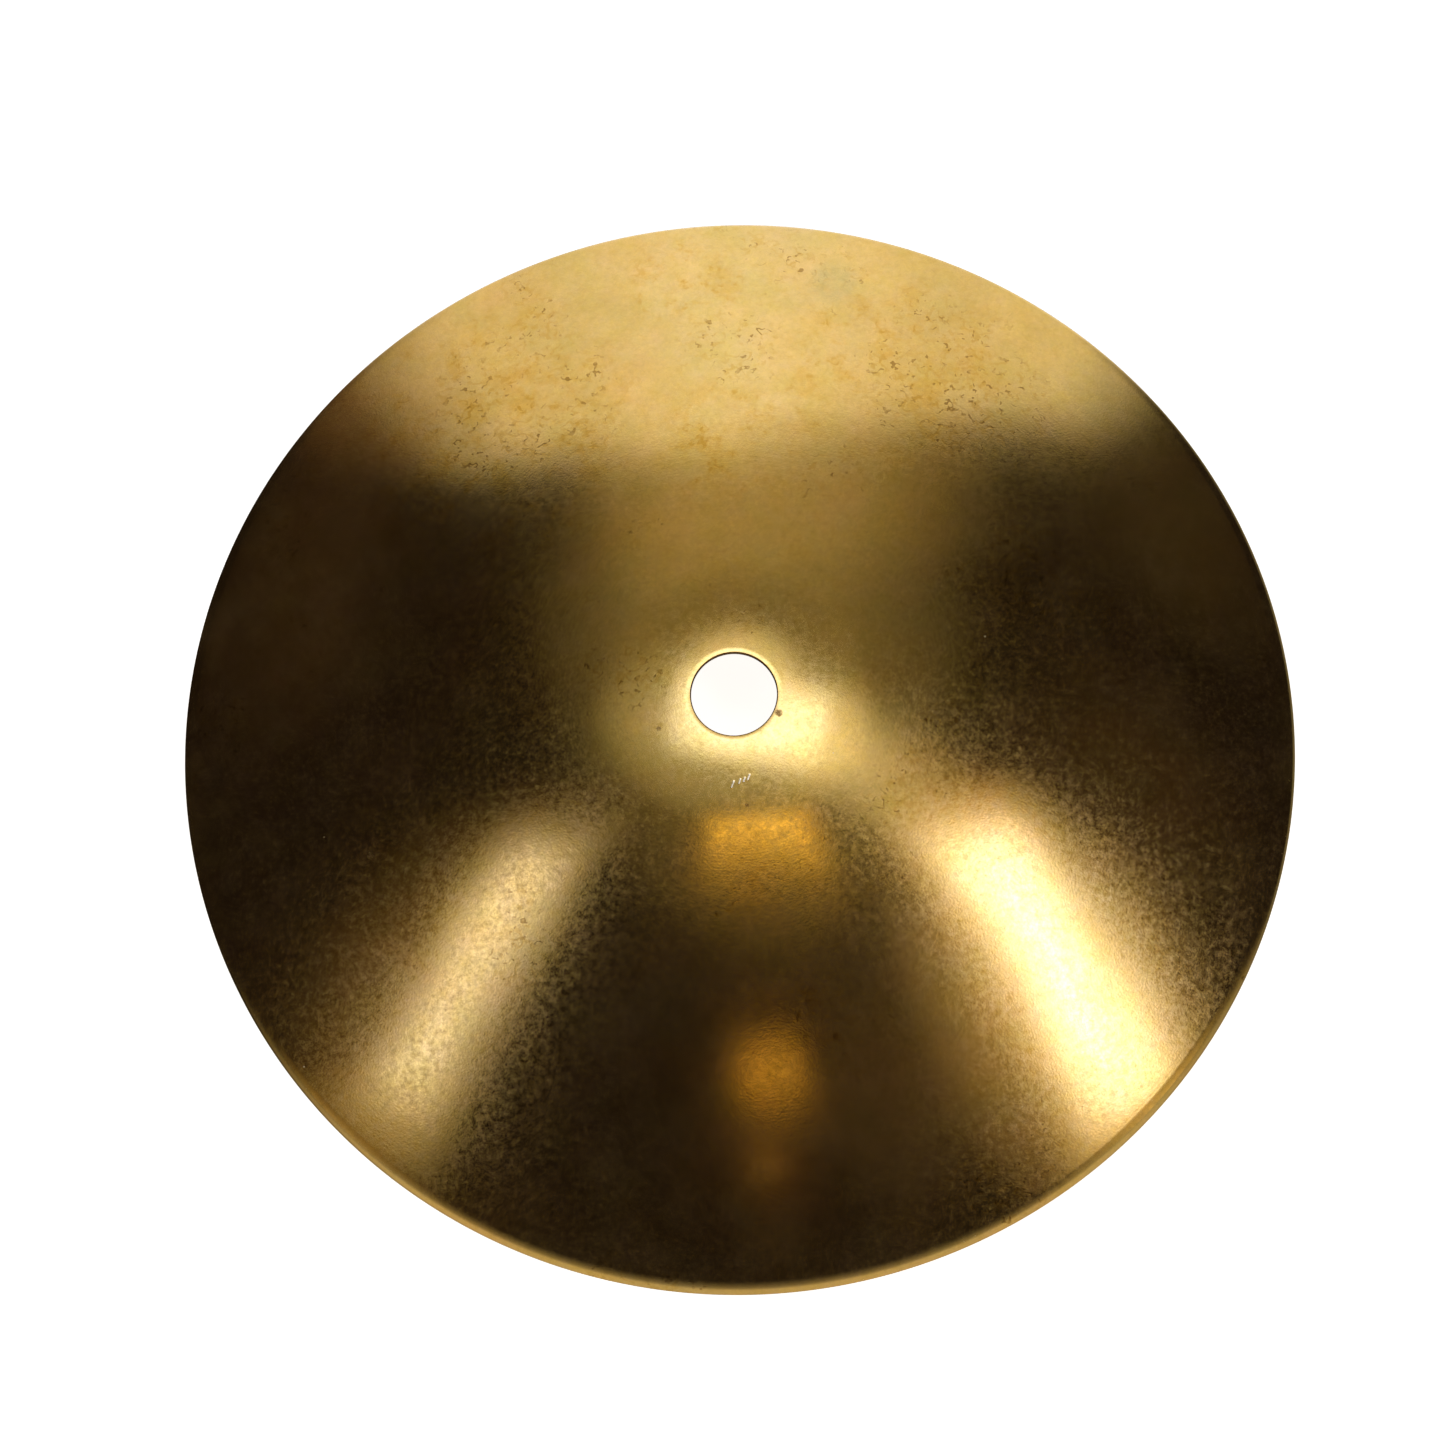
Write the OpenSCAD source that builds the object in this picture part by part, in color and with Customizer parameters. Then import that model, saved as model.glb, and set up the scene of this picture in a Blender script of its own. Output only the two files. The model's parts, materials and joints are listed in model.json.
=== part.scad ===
// Small crash cymbal: one disc of spun brass sheet, dished like a shallow cone with a rounded
// crown, pierced by a central hole and turned down all round at the rim over a gentle shoulder.
// Millimetres. The origin is the centre of the circle that the rim's cut edge lies on, and +Z runs
// up through the hole.

/* [Disc] */
// Outside diameter over the rim
disc_d = 178; // [150:1:220]
// Diameter of the central hole
hole_d = 13.2; // [8:0.1:20]
// Thickness of the sheet
sheet_t = 0.8; // [0.5:0.05:1]

/* [Dish] */
// Diameter of the rounded crown, where the flatter bow begins
crown_d = 44.5; // [30:0.5:60]
// Fall of the upper surface at the edge of the hole, in degrees
hole_fall = 1.4; // [0:0.1:3]
// Fall where the crown becomes the bow, in degrees
crown_fall = 9.1; // [6:0.1:10]
// Fall where the bow becomes the rim's shoulder, in degrees
bow_fall = 16.6; // [12:0.1:20]

/* [Rim] */
// Outside radius of the shoulder, a gentle bend before the rim's tight one
shoulder_r = 6; // [4:0.1:12]
// Fall where the shoulder becomes the rim's tight bend, in degrees
shoulder_fall = 28; // [22:0.5:40]
// Outside radius of the tight bend that turns the rim down
rim_r = 1.8; // [1.8:0.1:4]
// Fall at the rim's cut edge, in degrees
rim_fall = 80; // [78:1:88]

/* [Hidden] */
$fn = 180;

disc_r = disc_d / 2;
hole_r = hole_d / 2;
crown_edge_r = crown_d / 2;

// The upper surface is four arcs that share a tangent where they meet. Each is held as its centre
// [distance from the axis, height] and its radius. They are found from the rim's cut edge inwards.
rim_centre = [disc_r, 0] - rim_r * [sin(rim_fall), cos(rim_fall)];

shoulder_centre = rim_centre - (shoulder_r - rim_r) * [sin(shoulder_fall), cos(shoulder_fall)];

bow_edge_r = shoulder_centre[0] + shoulder_r * sin(bow_fall);
bow_r = (bow_edge_r - crown_edge_r) / (sin(bow_fall) - sin(crown_fall));
bow_centre = shoulder_centre - (bow_r - shoulder_r) * [sin(bow_fall), cos(bow_fall)];

crown_r = (crown_edge_r - hole_r) / (sin(crown_fall) - sin(hole_fall));
crown_centre = bow_centre + (bow_r - crown_r) * [sin(crown_fall), cos(crown_fall)];

// The lower surface is the same arcs, a sheet's thickness nearer their centres. It ends on the
// rim's cut edge, which is level so that the cymbal stands on it, and on the hole's straight wall.
rim_under_fall = acos(rim_r * cos(rim_fall) / (rim_r - sheet_t));
hole_under_fall = asin((hole_r - crown_centre[0]) / (crown_r - sheet_t));

crown_steps = 6;
bow_steps = 10;
shoulder_steps = 4;
rim_steps = 8;

// The point of an arc where its surface falls by an angle
function on_arc(centre, r, fall) = centre + r * [sin(fall), cos(fall)];

// Points along an arc from one fall to another, without the last, where the next arc starts
function arc(centre, r, from, to, steps) =
    [for (i = [0 : steps - 1]) on_arc(centre, r, from + (to - from) * i / steps)];

upper_side = concat(
    arc(crown_centre, crown_r, hole_fall, crown_fall, crown_steps),
    arc(bow_centre, bow_r, crown_fall, bow_fall, bow_steps),
    arc(shoulder_centre, shoulder_r, bow_fall, shoulder_fall, shoulder_steps),
    arc(rim_centre, rim_r, shoulder_fall, rim_fall, rim_steps),
    [[disc_r, 0]]
);

lower_side = concat(
    arc(rim_centre, rim_r - sheet_t, rim_under_fall, shoulder_fall, rim_steps),
    arc(shoulder_centre, shoulder_r - sheet_t, shoulder_fall, bow_fall, shoulder_steps),
    arc(bow_centre, bow_r - sheet_t, bow_fall, crown_fall, bow_steps),
    arc(crown_centre, crown_r - sheet_t, crown_fall, hole_under_fall, crown_steps),
    [on_arc(crown_centre, crown_r - sheet_t, hole_under_fall)]
);

// The whole cymbal, which is one piece of sheet
module cymbal() {
    color("goldenrod")
        rotate_extrude()
            polygon(concat(upper_side, lower_side));
}

cymbal();
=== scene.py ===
"""A small satin brass crash cymbal, resting on its rim. Metres, +Z up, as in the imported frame."""
import json
import math

import bmesh
import bpy
from mathutils import Matrix, Vector, noise


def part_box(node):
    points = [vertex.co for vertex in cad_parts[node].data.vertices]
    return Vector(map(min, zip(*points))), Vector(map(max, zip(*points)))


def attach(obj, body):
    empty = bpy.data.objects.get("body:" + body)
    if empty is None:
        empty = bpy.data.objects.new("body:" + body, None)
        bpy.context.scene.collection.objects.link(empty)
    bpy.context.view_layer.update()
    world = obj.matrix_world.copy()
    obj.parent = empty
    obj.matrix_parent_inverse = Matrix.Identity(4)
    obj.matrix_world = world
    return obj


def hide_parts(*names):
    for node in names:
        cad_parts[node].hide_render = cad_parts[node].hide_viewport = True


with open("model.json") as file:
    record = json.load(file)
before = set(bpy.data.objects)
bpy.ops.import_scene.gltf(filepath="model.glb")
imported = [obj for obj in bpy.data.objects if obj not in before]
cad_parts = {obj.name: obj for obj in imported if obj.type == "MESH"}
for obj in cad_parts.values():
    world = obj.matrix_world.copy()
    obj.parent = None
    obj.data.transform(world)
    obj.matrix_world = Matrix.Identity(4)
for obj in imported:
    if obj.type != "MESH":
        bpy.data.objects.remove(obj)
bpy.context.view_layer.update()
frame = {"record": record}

MM = 0.001
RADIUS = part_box("cymbal")[1].x
MOUNTS = {m["name"]: m for m in frame["record"]["mounts"]}
HOLE_R = MOUNTS["centre_hole"]["dims"]["r_mm"] * MM
SHEET = MOUNTS["centre_hole"]["dims"]["length_mm"] * MM
WHITE = (1, 1, 1, 1)


# ---------------------------------------------------------------- camera

LENS = 58.8                      # on a 36 mm sensor
CAMERA_DISTANCE = 4.26 * RADIUS
CAMERA_TILT = math.radians(16.0)     # away from straight down, towards -Y
CAMERA_ROLL = math.radians(-5.73)
AIM = Vector((-2.2, 0.75, 0)) * MM


def make_camera():
    data = bpy.data.cameras.new("camera")
    data.lens = LENS
    data.sensor_width = 36
    data.clip_start = 0.01
    camera = bpy.data.objects.new("camera", data)
    bpy.context.scene.collection.objects.link(camera)
    place = CAMERA_DISTANCE * Vector((0, -math.sin(CAMERA_TILT), math.cos(CAMERA_TILT)))
    turn = (AIM - place).to_track_quat("-Z", "Y").to_matrix() @ Matrix.Rotation(CAMERA_ROLL, 3, "Z")
    camera.matrix_world = Matrix.Translation(place) @ turn.to_4x4()
    bpy.context.scene.camera = camera


# ---------------------------------------------------------------- lights

CEILING = 3.0                    # height of the lowest overhead light
WALL_AWAY = 2.0                  # distance of the nearest upright light behind the cymbal
LIGHT_GAP = 0.01                 # lights that overlap hang this far behind each other
EDGE_STEPS = (-0.9, -0.3, 0.3, 0.9)  # a soft-edged light is nested shapes, smaller to larger
BOX, OVAL = "RECTANGLE", "ELLIPSE"

# Flat lights overhead: name, shape, centre, size, turn in degrees, softness of the edge, and glow.
# Their lengths are per metre of height.
OVERHEAD = (
    # the pale band beyond the hole, and the lamp over the crown
    ("band_far", BOX, (0.15, 0.93), (0.72, 0.40), 0, 0.10, (0.22, 0.175, 0.085)),
    ("band_near", OVAL, (0.035, 0.48), (0.84, 1.20), 0, 0.09, (0.245, 0.207, 0.115)),
    ("lamp", BOX, (0.040, 0.230), (0.31, 0.145), -15, 0.04, (2.5, 2.7, 3.5)),
    ("lamp_top", OVAL, (0.03, 0.36), (0.18, 0.18), 0, 0.05, (0.9, 0.85, 0.75)),
    ("lamp_tail", OVAL, (0.24, 0.155), (0.27, 0.21), -30, 0.06, (1.05, 0.98, 0.8)),
    ("lamp_halo", OVAL, (0.02, 0.22), (0.70, 0.34), -8, 0.09, (0.36, 0.35, 0.25)),
    # a long strip on each side: a cool core, a warm edge and glow, and a tail beyond the rim
    ("left_strip", BOX, (-0.524, -0.140), (0.10, 0.36), -34, 0.03, (1.1, 1.19, 1.85)),
    ("left_edge", BOX, (-0.526, -0.144), (0.145, 0.41), -34, 0.05, (0.74, 0.67, 0.42)),
    ("left_glow", OVAL, (-0.60, -0.12), (0.28, 0.50), -34, 0.08, (0.11, 0.072, 0.026)),
    ("left_tail", OVAL, (-1.25, -0.65), (0.36, 1.34), -62, 0.10, (0.32, 0.22, 0.09)),
    ("right_strip", BOX, (0.538, -0.188), (0.125, 0.385), 24, 0.04, (3.0, 3.3, 5.2)),
    ("right_edge", BOX, (0.545, -0.198), (0.185, 0.45), 24, 0.07, (1.25, 1.08, 0.72)),
    ("right_glow", OVAL, (0.53, -0.23), (0.40, 0.50), 20, 0.08, (0.42, 0.31, 0.155)),
    ("right_tail", OVAL, (1.17, -0.77), (0.36, 1.35), 57, 0.10, (0.75, 0.56, 0.27)),
    ("right_tip", OVAL, (0.47, 0.04), (0.18, 0.16), 0, 0.04, (0.30, 0.19, 0.06)),
    # the dim sides of the room
    ("side_right", OVAL, (0.72, 0.12), (0.30, 0.44), 0, 0.08, (0.025, 0.016, 0.007)),
    ("side_left", OVAL, (-0.90, 0.78), (0.34, 0.66), 0, 0.09, (0.022, 0.014, 0.008)),
    ("side_far", OVAL, (0.96, 0.82), (0.34, 0.60), 0, 0.09, (0.032, 0.025, 0.011)),
    ("low_haze", OVAL, (0.24, -0.36), (0.22, 0.20), 0, 0.07, (0.05, 0.033, 0.015)),
    # small warm lamps, one below the other
    ("warm_near", BOX, (0.039, -0.07), (0.246, 0.055), 0, 0.02, (1.9, 1.25, 0.27)),
    ("warm_far", BOX, (0.010, -0.350), (0.10, 0.022), 0, 0.009, (2.2, 1.34, 0.31)),
    ("warm_last", OVAL, (-0.01, -0.46), (0.08, 0.045), 0, 0.012, (0.33, 0.185, 0.055)),
)

# Upright lights behind, from 45 degrees below the horizon to their top: name, left and right edges
# and top per metre of their distance, the softness of the edges, and glow
BEHIND = (
    ("wall", (-0.51, 0.80), 0.955, 0.10, (1.10, 1.02, 0.85)),
    ("wall_middle", (-0.12, 0.24), 0.90, 0.11, (0.22, 0.28, 0.42)),
    ("wall_side", (-0.72, -0.50), 0.92, 0.08, (0.12, 0.07, 0.035)),
)


def area_light(name, shape, matrix, size, glow):
    """A flat light whose face has the brightness and colour glow."""
    strength = max(glow)
    area = size[0] * size[1] * (math.pi / 4 if shape == OVAL else 1)
    data = bpy.data.lights.new(name, "AREA")
    data.shape = shape
    data.size, data.size_y = size
    data.color = [g / strength for g in glow]
    data.energy = strength * math.pi * area
    light = bpy.data.objects.new(name, data)
    bpy.context.scene.collection.objects.link(light)
    light.matrix_world = matrix
    light.visible_camera = False


def make_overhead_lights():
    steps = len(EDGE_STEPS)
    for k, (name, shape, centre, size, turn, soft, glow) in enumerate(OVERHEAD):
        for i, step in enumerate(EDGE_STEPS):
            height = CEILING + (k * steps + i) * LIGHT_GAP
            place = Vector((centre[0], centre[1], 1)) * height
            matrix = Matrix.Translation(place) @ Matrix.Rotation(math.radians(turn), 4, "Z")
            grown = [(side + 2 * soft * step) * height for side in size]
            area_light(f"{name}_{i}", shape, matrix, grown, [g / steps for g in glow])


def make_lights_behind():
    steps = len(EDGE_STEPS)
    upright = Matrix.Rotation(math.radians(-90), 4, "X")
    for k, (name, (left, right), top, soft, glow) in enumerate(BEHIND):
        for i, step in enumerate(EDGE_STEPS):
            away = WALL_AWAY + (k * steps + i) * LIGHT_GAP
            grown = soft * step
            place = Vector(((left + right) / 2, 1, (top + grown / 2 - 1) / 2)) * away
            size = ((right - left + 2 * grown) * away, (top + grown / 2 + 1) * away)
            matrix = Matrix.Translation(place) @ upright
            area_light(f"{name}_{i}", BOX, matrix, size, [g / steps for g in glow])


# ---------------------------------------------------------------- node graphs

class Graph:
    """A node tree, made and joined by short calls."""

    def __init__(self, tree):
        self.tree = tree

    def put(self, socket, value):
        """Gives a socket a number, a colour or another node's output."""
        if isinstance(value, bpy.types.NodeSocket):
            self.tree.links.new(value, socket)
        else:
            socket.default_value = value

    def node(self, kind, inputs, **settings):
        """Makes a node with its settings, then its inputs by name or number. Gives its outputs."""
        made = self.tree.nodes.new("ShaderNode" + kind)
        for name, setting in settings.items():
            setattr(made, name, setting)
        for key, value in inputs.items():
            self.put(made.inputs[key], value)
        return made.outputs

    def maths(self, operation, *values):
        return self.node("Math", dict(enumerate(values)), operation=operation)["Value"]

    def chain(self, operation, values):
        """Joins any number of values by one operation."""
        total = values[0]
        for value in values[1:]:
            total = self.maths(operation, total, value)
        return total

    def sum(self, *values):
        return self.chain("ADD", values)

    def product(self, *values):
        return self.chain("MULTIPLY", values)

    def most(self, *values):
        return self.chain("MAXIMUM", values)

    def squared(self, value):
        return self.product(value, value)

    def axes(self, vector):
        parts = self.node("SeparateXYZ", {"Vector": vector})
        return tuple(parts[axis] for axis in "XYZ")

    def joined(self, x, y, z):
        return self.node("CombineXYZ", {0: x, 1: y, 2: z})["Vector"]

    def step(self, value, start, end):
        """0 where value is start, 1 where it is end, with a soft change between them."""
        inputs = {"Value": value, "From Min": start, "From Max": end}
        return self.node("MapRange", inputs, interpolation_type="SMOOTHSTEP")["Result"]

    def scaled(self, value, low, high, start=0.25, end=0.75):
        """Stretches a value, such as noise that stays near a half, so that it runs from low to high."""
        inputs = {"Value": value, "From Min": start, "From Max": end, "To Min": low, "To Max": high}
        return self.node("MapRange", inputs)["Result"]

    def mixed(self, amount, a, b):
        return self.node("Mix", {"Factor": amount, "A": a, "B": b}, data_type="RGBA")["Result"]


# ---------------------------------------------------------------- room

FLOOR_HALF = 4.0
FLOOR_COLOUR = (0.8, 0.8, 0.8, 1)
FLOOR_ROUGHNESS = 0.9
FLOOR_GLOW = 0.9                 # keeps the floor as pale as the background


def make_floor():
    mesh = bpy.data.meshes.new("floor")
    corners = [(x * FLOOR_HALF, y * FLOOR_HALF, 0) for x, y in ((-1, -1), (1, -1), (1, 1), (-1, 1))]
    mesh.from_pydata(corners, [], [(0, 1, 2, 3)])
    floor = bpy.data.objects.new("floor", mesh)
    bpy.context.scene.collection.objects.link(floor)
    material = bpy.data.materials.new("floor")
    material.use_nodes = True
    shader = material.node_tree.nodes["Principled BSDF"]
    shader.inputs["Base Color"].default_value = FLOOR_COLOUR
    shader.inputs["Roughness"].default_value = FLOOR_ROUGHNESS
    shader.inputs["Emission Color"].default_value = WHITE
    shader.inputs["Emission Strength"].default_value = FLOOR_GLOW
    mesh.materials.append(material)
    floor.visible_glossy = False         # the brass reflects the world's lower half instead
    floor.visible_shadow = False


DARK_ROOM = (0.013, 0.0085, 0.0095, 1)
FRONT_GLOW = (0.74, 0.64, 0.46, 1)       # the pale room and table in front
SIDE_GLOW = (0.20, 0.19, 0.15, 1)        # the table on the right, below the horizon

# Where the pale parts of the room begin and where they are full, in parts of a unit direction
FRONT_Y, FRONT_Z = (-0.12, -0.70), (0.89, 0.25)
SIDE_X, SIDE_Z = (0.1, 0.6), (0.0, -0.3)


def make_world():
    """White to the camera. To everything else, a dark room that is pale in front and low on the right."""
    world = bpy.data.worlds.new("world")
    world.use_nodes = True
    bpy.context.scene.world = world
    g = Graph(world.node_tree)
    x, y, z = g.axes(g.node("TexCoord", {})["Generated"])
    front = g.product(g.step(y, *FRONT_Y), g.step(z, *FRONT_Z))
    side = g.product(g.step(x, *SIDE_X), g.step(z, *SIDE_Z))
    room = g.mixed(front, g.mixed(side, DARK_ROOM, SIDE_GLOW), FRONT_GLOW)
    to_camera = g.node("LightPath", {})["Is Camera Ray"]
    g.put(g.tree.nodes["Background"].inputs["Color"], g.mixed(to_camera, room, WHITE))


# ---------------------------------------------------------------- shape

CROWN_EDGE_R = 22.25 * MM
HOLE_FALL, CROWN_FALL, BOW_FALL, SHOULDER_FALL, RIM_FALL = (
    math.radians(a) for a in (1.4, 9.1, 16.6, 28, 80)
)
SHOULDER_R = 6 * MM
RIM_R = 1.8 * MM

SEGMENTS = 720
UPPER_STEPS = (16, 54, 7, 9)     # rings on the crown, the bow, the shoulder and the rim's bend
LOWER_STEPS = (6, 19, 3, 4)
CORNER_R = 0.16 * MM             # the sheared edges are a little rounded
CORNER_STEPS = 4
CORNER_REACH = 2 * CORNER_R      # the lower side's rings keep this far from its corners
WAVE_LENGTH = 16 * MM            # hand work leaves the bow slightly wavy
WAVE_HEIGHT = 0.035 * MM


def slope(fall):
    """The outward direction of a surface that falls by an angle, as (away from the axis, up)."""
    return Vector((math.sin(fall), math.cos(fall)))


def section_arcs():
    """The upper surface's four arcs, as in the CAD: (centre, radius, fall at its start, fall at its end)."""
    rim_c = Vector((RADIUS, 0)) - RIM_R * slope(RIM_FALL)
    shoulder_c = rim_c - (SHOULDER_R - RIM_R) * slope(SHOULDER_FALL)
    bow_edge = shoulder_c.x + SHOULDER_R * math.sin(BOW_FALL)
    bow_r = (bow_edge - CROWN_EDGE_R) / (math.sin(BOW_FALL) - math.sin(CROWN_FALL))
    bow_c = shoulder_c - (bow_r - SHOULDER_R) * slope(BOW_FALL)
    crown_r = (CROWN_EDGE_R - HOLE_R) / (math.sin(CROWN_FALL) - math.sin(HOLE_FALL))
    crown_c = bow_c + (bow_r - crown_r) * slope(CROWN_FALL)
    return [
        (crown_c, crown_r, HOLE_FALL, CROWN_FALL),
        (bow_c, bow_r, CROWN_FALL, BOW_FALL),
        (shoulder_c, SHOULDER_R, BOW_FALL, SHOULDER_FALL),
        (rim_c, RIM_R, SHOULDER_FALL, RIM_FALL),
    ]


def section(steps, inset):
    """Points down one side of the sheet, inset from the upper surface, with steps to each arc."""
    points = []
    for (centre, radius, start, end), count in zip(section_arcs(), steps):
        for i in range(count):
            fall = start + (end - start) * i / count
            points.append(centre + (radius - inset) * slope(fall))
    return points


def rounded(before, corner, after):
    """Points on an arc of CORNER_R in place of a sharp corner."""
    to_before, to_after = (before - corner).normalized(), (after - corner).normalized()
    half = to_before.angle(to_after) / 2
    centre = corner + (to_before + to_after).normalized() * CORNER_R / math.sin(half)
    start = (corner + to_before * CORNER_R / math.tan(half) - centre).normalized()
    end = (corner + to_after * CORNER_R / math.tan(half) - centre).normalized()
    return [centre + CORNER_R * start.slerp(end, i / CORNER_STEPS) for i in range(CORNER_STEPS + 1)]


def cymbal_outline():
    """The section of the sheet, from the hole over the top to the cut edge and back underneath."""
    upper = section(UPPER_STEPS, 0)
    lower = section(LOWER_STEPS, SHEET)[::-1]
    lower = [p for p in lower if p.x > HOLE_R + CORNER_REACH and p.y > CORNER_REACH]
    rim_c = section_arcs()[-1][0]
    cut_outer = Vector((RADIUS, 0))
    cut_inner = Vector((rim_c.x + math.sqrt((RIM_R - SHEET) ** 2 - rim_c.y ** 2), 0))
    hole_top = upper.pop(0)
    hole_foot = Vector((HOLE_R, hole_top.y - SHEET))
    return (
        upper
        + rounded(upper[-1], cut_outer, cut_inner)
        + rounded(cut_outer, cut_inner, lower[0])
        + lower
        + rounded(lower[-1], hole_foot, hole_top)
        + rounded(hole_foot, hole_top, upper[0])
    )


def wave(x, y):
    """How far the sheet stands above or below its true shape. It is true at the hole and the rim."""
    r = math.hypot(x, y)
    calm = min(1, max(0, (r - HOLE_R) / WAVE_LENGTH)) * min(1, max(0, (RADIUS - RIM_R - r) / WAVE_LENGTH))
    return WAVE_HEIGHT * calm * noise.noise(Vector((x, y, WAVE_LENGTH)) / WAVE_LENGTH)


def make_cymbal():
    bm = bmesh.new()
    rings = []
    for p in cymbal_outline():
        ring = []
        for k in range(SEGMENTS):
            turn = 2 * math.pi * k / SEGMENTS
            x, y = p.x * math.cos(turn), p.x * math.sin(turn)
            ring.append(bm.verts.new((x, y, p.y + wave(x, y))))
        rings.append(ring)
    for ring, after in zip(rings, rings[1:] + rings[:1]):
        for k in range(SEGMENTS):
            bm.faces.new((ring[k - 1], after[k - 1], after[k], ring[k]))
    bm.normal_update()
    mesh = bpy.data.meshes.new("brass_disc")
    bm.to_mesh(mesh)
    bm.free()
    mesh.polygons.foreach_set("use_smooth", [True] * len(mesh.polygons))
    disc = bpy.data.objects.new("brass_disc", mesh)
    bpy.context.scene.collection.objects.link(disc)
    mesh.materials.append(brass())
    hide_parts("cymbal")
    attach(disc, "root")


# ---------------------------------------------------------------- brass

# Linear colours
BRASS = (0.66, 0.465, 0.165)
AMBER_MARK = (0.48, 0.27, 0.03, 1)
DARK_MARK = (0.19, 0.082, 0.004, 1)
VERDIGRIS = (0.50, 0.46, 0.21, 1)
DARK_BROWN = (0.13, 0.06, 0.015, 1)
BARE = (0.92, 0.86, 0.72, 1)

# Marks on the upper side, in millimetres: each one's place from the hole's centre, and its reach
SPECKLED = (((-31, 54), 24), ((40, 54), 24), ((4, 62), 12), ((26, 75), 4))
STAINED = (((30, 56), 26), ((-36, 50), 34), ((2, 44), 16), ((-2, 76), 14))
VERDIGRIS_SPOT = ((22, 74), 6)
DARK_PATCH = ((36, -67), 7)
SPOTS = (((6.6, -3.6), 0.9), ((-11.9, -4.5), 0.6), ((-58.3, -18.6), 0.9), ((0.6, -17.5), 0.5))
HOLE_EDGE_DARK = (HOLE_R / MM + 0.22, HOLE_R / MM + 0.10)    # a darker brown ring at the hole's edge, also over its wall: fades out at the first, full at the second
RIM_TARNISH = (RADIUS / MM - 2.5, RADIUS / MM - 0.5)     # begins at the first, full at the second

# Four short nicks below the hole: each one's place and its length
NICKS = (((-1.3, -14.2), 1.5), ((-0.2, -13.8), 1.1), ((0.5, -13.6), 1.0), ((1.2, -13.3), 1.3))
NICK_WIDTH = 0.42
NICK_LEAN = math.radians(65)

# The grain grows from the first of these to the second, measured towards the far side, and it is
# finer near the place between the two long reflections
GRAIN_GROWS = (34, 4)
CALM = ((2, -56), 38)
LATHE_STRETCH = 1.6              # the lathe's rings keep their pattern this far round the disc


class DiscGraph(Graph):
    """The nodes of the disc's material, with patterns on its surface. Lengths are in millimetres."""

    def __init__(self, name):
        self.material = bpy.data.materials.new(name)
        self.material.use_nodes = True
        super().__init__(self.material.node_tree)
        self.shader = self.tree.nodes["Principled BSDF"].inputs
        given = self.node("TexCoord", {})
        self.up = self.axes(given["Normal"])[2]
        scaling = {0: given["Object"], "Scale": 1 / MM}
        self.place = self.node("VectorMath", scaling, operation="SCALE")["Vector"]
        self.x, self.y, _ = self.axes(self.place)
        self.radius = self.maths("POWER", self.sum(self.squared(self.x), self.squared(self.y)), 0.5)

    def noise(self, size, seed, detail=2.0, roughness=0.5, place=None):
        """Smooth noise whose largest features are about size across. Each seed gives another pattern."""
        inputs = {"Vector": place or self.place, "W": seed * 7.3, "Scale": 1 / size}
        inputs |= {"Detail": detail, "Roughness": roughness}
        return self.node("TexNoise", inputs, noise_dimensions="4D")["Fac"]

    def dots(self, spacing, radius, share, seed):
        """Round dots, in a share of the cells of a scattered grid."""
        flat = self.joined(self.x, self.y, seed * 10 * spacing)
        cells = self.node("TexVoronoi", {"Vector": flat, "Scale": 1 / spacing}, voronoi_dimensions="3D")
        chosen = self.step(self.axes(cells["Color"])[0], 1 - share, 1 - share + 0.01)
        return self.product(chosen, self.step(cells["Distance"], radius / spacing, 0.5 * radius / spacing))

    def dashes(self, size, width, share, seed):
        """Short curved dashes: the level lines of smooth noise, broken up by more noise."""
        level = self.maths("ABSOLUTE", self.maths("SUBTRACT", self.noise(size, seed, detail=1), 0.5))
        breaks = self.step(self.noise(size * 0.8, seed + 0.5, detail=1), 0.52 - share, 0.58 - share)
        return self.product(self.step(level, width, 0.4 * width), breaks)

    def near(self, centre, reach, sharp=0.35):
        """1 near a place on the disc, falling to 0 at its reach."""
        across = self.squared(self.maths("SUBTRACT", self.x, centre[0]))
        along = self.squared(self.maths("SUBTRACT", self.y, centre[1]))
        return self.step(self.maths("SQRT", self.sum(across, along)), reach, reach * sharp)

    def near_any(self, places):
        return self.most(*(self.near(centre, reach) for centre, reach in places))

    def nick(self, centre, length):
        """1 on a short scratch that leans to the right, falling to 0 at its sides and ends."""
        x = self.maths("SUBTRACT", self.x, centre[0])
        y = self.maths("SUBTRACT", self.y, centre[1])
        c, d = math.cos(NICK_LEAN), math.sin(NICK_LEAN)
        along = self.maths("ABSOLUTE", self.sum(self.product(x, c), self.product(y, d)))
        across = self.maths("ABSOLUTE", self.maths("SUBTRACT", self.product(x, d), self.product(y, c)))
        ends = self.step(along, length / 2, 0.3 * length)
        return self.product(ends, self.step(across, NICK_WIDTH / 2, 0.1 * NICK_WIDTH))

    def tinted(self, colour, red, green, blue):
        """The colour with each channel made darker or lighter by a factor."""
        inputs = {0: colour, 1: self.joined(red, green, blue)}
        return self.node("VectorMath", inputs, operation="MULTIPLY")["Vector"]


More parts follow.
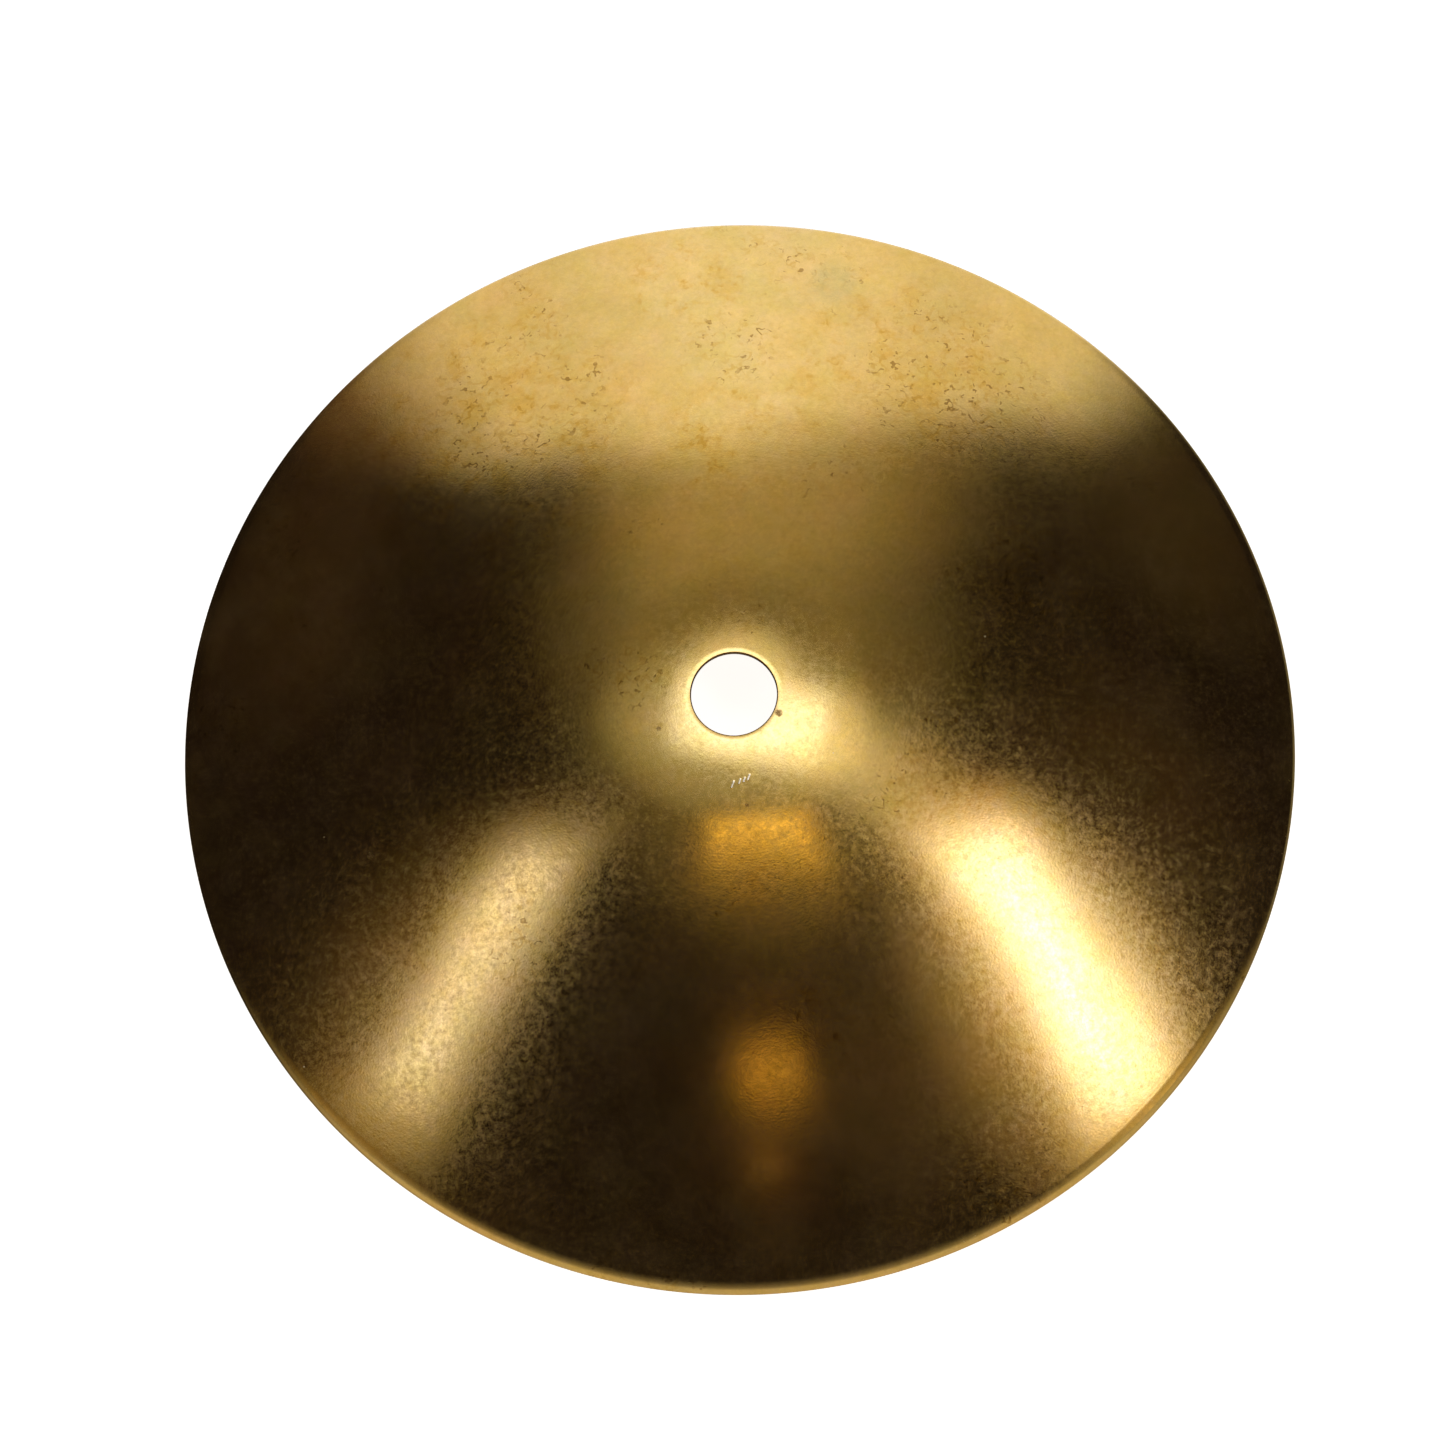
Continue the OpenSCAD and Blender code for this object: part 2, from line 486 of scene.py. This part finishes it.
def clean_colour(g, stained):
    """The metal's colour: blotches that differ mostly in how yellow they are, and a little in how red."""
    blotches = g.noise(6, 2, detail=6, roughness=0.68)
    shade = g.product(
        g.scaled(g.noise(22, 3, detail=2), 0.95, 1.04),
        g.scaled(g.noise(5.5, 4, detail=5, roughness=0.65), 0.93, 1.06),
        g.scaled(blotches, 0.95, 1.03),
        g.scaled(g.noise(0.9, 5, detail=3, roughness=0.8), 0.90, 1.08),
    )
    red = g.product(
        shade,
        g.scaled(g.noise(7, 6, detail=5, roughness=0.65), 0.945, 1.055),
        g.scaled(g.noise(14, 26, detail=3), 0.965, 1.03),
        g.scaled(stained, 1, 0.95, 0, 1),
    )
    green = g.product(shade, g.scaled(stained, 1, 0.88, 0, 1))
    blue = g.product(
        shade,
        g.scaled(blotches, 0.80, 1.19),
        g.scaled(g.noise(1.6, 24, detail=3, roughness=0.75), 0.89, 1.12),
        g.scaled(stained, 1, 0.68, 0, 1),
    )
    return g.tinted(BRASS, red, green, blue)


def dashes_and_freckles(g, stained):
    """How strong the many faint amber marks are, and the fewer dark ones. Both lie in clusters."""
    ragged = g.scaled(g.noise(7, 7, detail=3), 0.1, 1.0)
    crowd = g.product(g.near_any(SPECKLED), ragged)
    strays = g.product(g.step(g.noise(17, 8, detail=3), 0.54, 0.68), 0.6)
    crowd = g.most(crowd, strays, 0.05)
    faint = g.product(
        g.most(g.dashes(2.1, 0.065, 0.03, 9), g.step(g.noise(1.3, 10, detail=3), 0.58, 0.66)),
        g.scaled(g.noise(3, 11, detail=2), 0.3, 1.0),
        g.most(crowd, g.product(stained, 0.9), 0.18),
    )
    freckles = g.product(g.dots(2.4, 0.24, 0.45, 1), g.most(crowd, 0.15))
    dark = g.most(g.product(g.dashes(1.7, 0.055, -0.02, 12), crowd), freckles)
    dark = g.product(dark, g.scaled(g.noise(2.2, 13, detail=2), 0.25, 1.0))
    dark = g.step(g.product(dark, g.scaled(g.noise(0.5, 25, detail=2), 0.5, 1.3)), 0.04, 0.48)
    return faint, dark


def corrosion_and_hole_edge(g):
    """How strong the pale green spot, the dark patch, the brown spots and the darker ring at the hole's edge
    and wall are.
    """
    web = g.scaled(g.noise(1.6, 14, detail=5, roughness=0.65), 0.1, 1.0)
    green = g.product(g.near(*VERDIGRIS_SPOT), web)
    patch = g.product(g.near(*DARK_PATCH, 0.1), g.step(web, 0.5, 0.9))
    ragged = g.scaled(g.noise(0.6, 15, detail=3, roughness=0.7), 0.2, 1.2)
    brown = g.step(g.product(g.near_any(SPOTS), ragged), 0.12, 0.8)
    return green, patch, brown, g.step(g.radius, *HOLE_EDGE_DARK)


def brass():
    """Satin brass with hand marks: blotches, dashes, freckles, a pale green spot, a dark patch, brown spots,
    a darker ring at the hole's edge, nicks, dust and a fine grain.
    """
    g = DiscGraph("satin_brass")
    stained = g.product(
        g.near_any(STAINED),
        g.step(g.noise(5, 1, detail=4, roughness=0.65), 0.46, 0.62),
    )
    faint, dark = dashes_and_freckles(g, stained)
    green, patch, brown, hole_edge = corrosion_and_hole_edge(g)
    nicks = g.most(*(g.nick(centre, length) for centre, length in NICKS))
    dust = g.product(g.dots(5.0, 0.14, 0.22, 2), g.scaled(g.noise(4, 16), 0.2, 1.0))

    colour = clean_colour(g, stained)
    for amount, mark in (
        (g.product(faint, 0.8), AMBER_MARK),
        (g.product(dark, 0.64), DARK_MARK),
        (g.product(green, 0.5), VERDIGRIS),
        (g.product(patch, 0.6), DARK_MARK),
        # the brown spots, and a dark brown ring at the hole's edge that also covers its wall
        (g.most(g.product(brown, 0.75), hole_edge), DARK_BROWN),
        (g.most(nicks, g.product(dust, 0.7)), BARE),
    ):
        colour = g.mixed(amount, colour, mark)
    g.put(g.shader["Base Color"], colour)

    # a thin film of tarnish, in drifts, scatters a little light
    film = g.step(g.noise(13, 17, detail=5, roughness=0.65), 0.42, 0.68)
    film = g.sum(g.product(film, 0.03), g.product(g.noise(1.2, 18, detail=4, roughness=0.65), 0.014))
    film = g.sum(film, g.product(green, 0.08), g.product(dust, 0.3))
    g.put(g.shader["Metallic"], g.maths("SUBTRACT", 1, film))

    # the grain is strongest round the hole and on the near side, except in its middle
    specks = g.most(faint, dark)
    grain = g.scaled(g.noise(1.0, 20, detail=3, roughness=0.85), -1, 1)
    worn = g.product(
        g.scaled(g.step(g.y, *GRAIN_GROWS), 0.25, 0.72, 0, 1),
        g.scaled(g.near(*CALM, 0.5), 1, 0.25, 0, 1),
    )
    upper_side = g.step(g.up, 0.0, 0.3)
    rough = g.sum(
        g.product(
            g.scaled(g.noise(8, 19, detail=5, roughness=0.6), 0.125, 0.152),
            g.sum(1, g.product(grain, worn)),
        ),
        g.product(g.step(g.radius, *RIM_TARNISH), 0.06),
        g.product(specks, 0.02),
        g.product(g.most(green, patch, brown, hole_edge), 0.14),
        g.product(nicks, 0.14),
        g.product(dust, 0.35),
        g.product(g.step(upper_side, 1, 0), 0.06),
    )
    g.put(g.shader["Roughness"], rough)

    # relief: a fine grain, faint rings from the lathe, and the marks
    turn = g.maths("ARCTAN2", g.y, g.x)
    ringed = g.joined(
        g.radius,
        g.product(g.maths("COSINE", turn), LATHE_STRETCH),
        g.product(g.maths("SINE", turn), LATHE_STRETCH),
    )
    relief = g.sum(
        g.product(g.noise(0.35, 21, detail=1), 0.0035),
        g.product(g.noise(0.35, 23, detail=1, place=ringed), 0.0014),
        g.product(specks, -0.002),
        g.product(nicks, 0.02),
    )
    g.put(g.shader["Normal"], g.node("Bump", {"Distance": MM, "Height": relief})["Normal"])
    return g.material


make_camera()
make_world()
make_floor()
make_overhead_lights()
make_lights_behind()
make_cymbal()
bpy.context.scene.view_settings.view_transform = "Standard"
